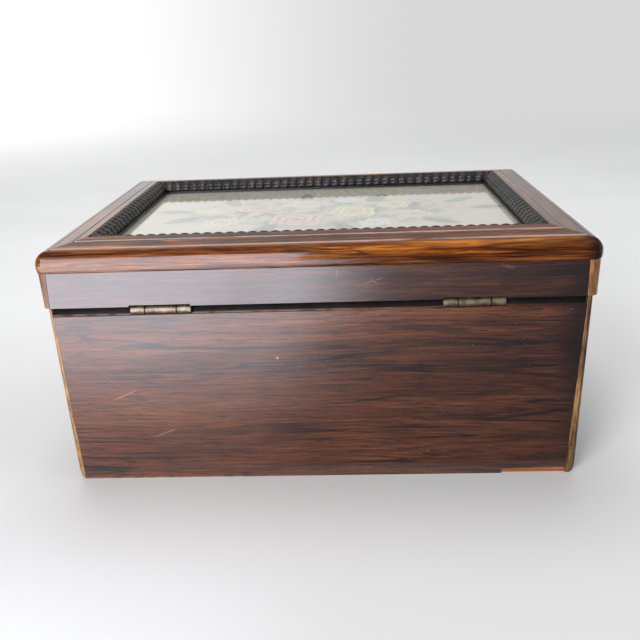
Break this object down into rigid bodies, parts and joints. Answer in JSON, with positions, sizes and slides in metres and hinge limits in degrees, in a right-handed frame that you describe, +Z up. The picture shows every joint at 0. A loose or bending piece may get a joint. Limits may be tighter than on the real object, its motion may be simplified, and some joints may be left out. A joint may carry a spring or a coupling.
{
  "type": "veneered box",
  "caption": "Rectangular rosewood veneered box with a hinged lid, whose moulded frame and ebonised ripple slip hold a glazed picture.",
  "frame": {"origin": "middle of the underside", "axes": "+X along the length, +Y towards the hinges at the back, +Z up"},
  "size_m": [0.2816, 0.1934, 0.1359],
  "materials": {
    "rosewood_veneer": "worn gloss polish",
    "rosewood_moulding": "worn gloss polish",
    "carcase_wood": "bare, aged",
    "edging_wood": "worn polish",
    "ebonised_wood": "satin black",
    "picture_paper": "matt, painted",
    "picture_glass": "clear",
    "hinge_brass": "aged"
  },
  "bodies": {
    "case": {"case_front_board": "carcase_wood", "case_back_board": "carcase_wood", "case_left_board": "carcase_wood", "case_right_board": "carcase_wood", "case_bottom_board": "carcase_wood", "case_front_veneer": "rosewood_veneer", "case_back_veneer": "rosewood_veneer", "case_left_veneer": "rosewood_veneer", "case_right_veneer": "rosewood_veneer", "case_front_left_edging": "edging_wood", "case_front_right_edging": "edging_wood", "case_back_left_edging": "edging_wood", "case_back_right_edging": "edging_wood", "left_hinge_case_leaf": "hinge_brass", "left_hinge_pin": "hinge_brass", "right_hinge_case_leaf": "hinge_brass", "right_hinge_pin": "hinge_brass"},
    "lid": {"lid_front_board": "carcase_wood", "lid_back_board": "carcase_wood", "lid_left_board": "carcase_wood", "lid_right_board": "carcase_wood", "lid_front_veneer": "rosewood_veneer", "lid_back_veneer": "rosewood_veneer", "lid_left_veneer": "rosewood_veneer", "lid_right_veneer": "rosewood_veneer", "lid_front_left_edging": "edging_wood", "lid_front_right_edging": "edging_wood", "lid_back_left_edging": "edging_wood", "lid_back_right_edging": "edging_wood", "lid_panel": "carcase_wood", "picture_card": "picture_paper", "picture_glass": "picture_glass", "frame_front_moulding": "rosewood_moulding", "frame_back_moulding": "rosewood_moulding", "frame_left_moulding": "rosewood_moulding", "frame_right_moulding": "rosewood_moulding", "ripple_front_slip": "ebonised_wood", "ripple_back_slip": "ebonised_wood", "ripple_left_slip": "ebonised_wood", "ripple_right_slip": "ebonised_wood", "left_hinge_lid_leaf": "hinge_brass", "right_hinge_lid_leaf": "hinge_brass"}
  },
  "joints": [
    {"name": "lid_hinge", "type": "hinge", "parent": "case", "child": "lid", "pos_m": [0, 0.09275, 0.10138], "axis": [-1, 0, 0], "range_deg": [0, 110]}
  ]
}
